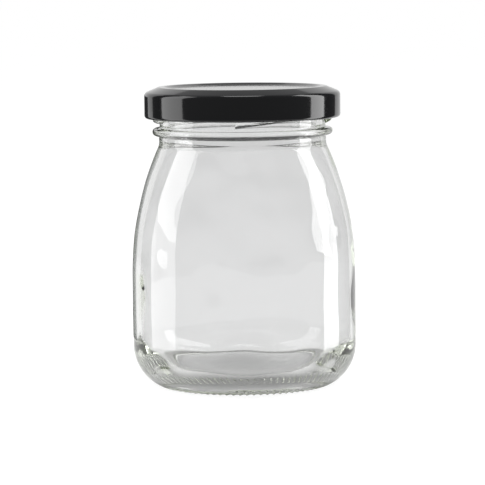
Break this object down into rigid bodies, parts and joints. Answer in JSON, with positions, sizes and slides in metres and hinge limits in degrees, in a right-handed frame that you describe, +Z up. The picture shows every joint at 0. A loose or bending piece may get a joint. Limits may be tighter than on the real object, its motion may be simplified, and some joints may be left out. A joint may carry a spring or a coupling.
{
  "type": "glass dessert jar",
  "caption": "Clear pressed-glass dessert jar with a long sloping shoulder, a carrying bead under its threaded mouth and a gloss black twist-off metal cap, closed and empty.",
  "frame": {"origin": "centre of the foot ring, on the surface that the jar stands on", "axes": "+Z up along the jar's axis, -Y towards the front, +X to the right seen from the front"},
  "size_m": [0.0692, 0.0692, 0.0924],
  "materials": {
    "clear_glass": "clear soda-lime glass, fire-polished, faintly green-grey in its thick parts",
    "black_lacquer": "gloss black lacquer on tinplate",
    "sealing_compound": "satin off-white sealing compound"
  },
  "bodies": {
    "root": {"jar": "clear_glass", "lid": "black_lacquer", "liner": "sealing_compound"}
  },
  "joints": []
}
